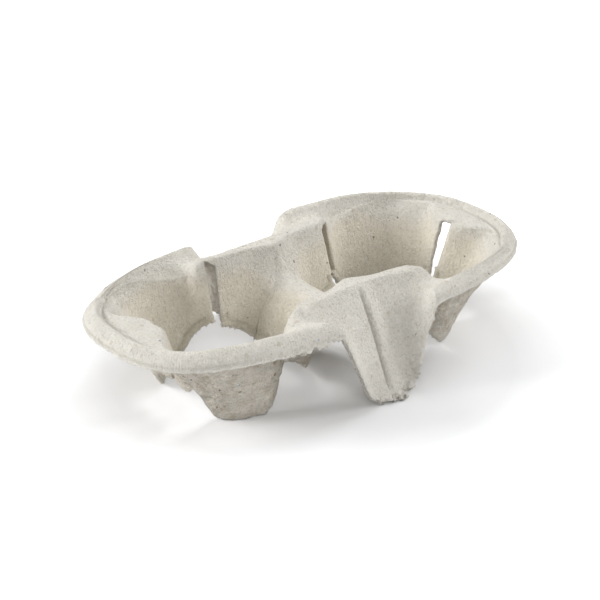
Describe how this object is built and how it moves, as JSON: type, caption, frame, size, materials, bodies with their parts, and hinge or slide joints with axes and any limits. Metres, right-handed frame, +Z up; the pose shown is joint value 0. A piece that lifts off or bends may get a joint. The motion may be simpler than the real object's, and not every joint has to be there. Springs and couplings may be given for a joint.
{
  "type": "cup carrier",
  "caption": "Moulded-pulp drinks carrier: an oblong shell with a rolled rim, slit tapered cup pockets open at the bottom, a saddle divider and funnel-shaped side feet.",
  "frame": {"origin": "on the floor under the middle of the carrier", "axes": "+X along the carrier from one cup pocket to the other, +Y across it, +Z up"},
  "size_m": [0.2108, 0.11, 0.0459],
  "materials": {
    "pulp": "matte"
  },
  "bodies": {
    "root": {"carrier": "pulp"}
  },
  "joints": []
}
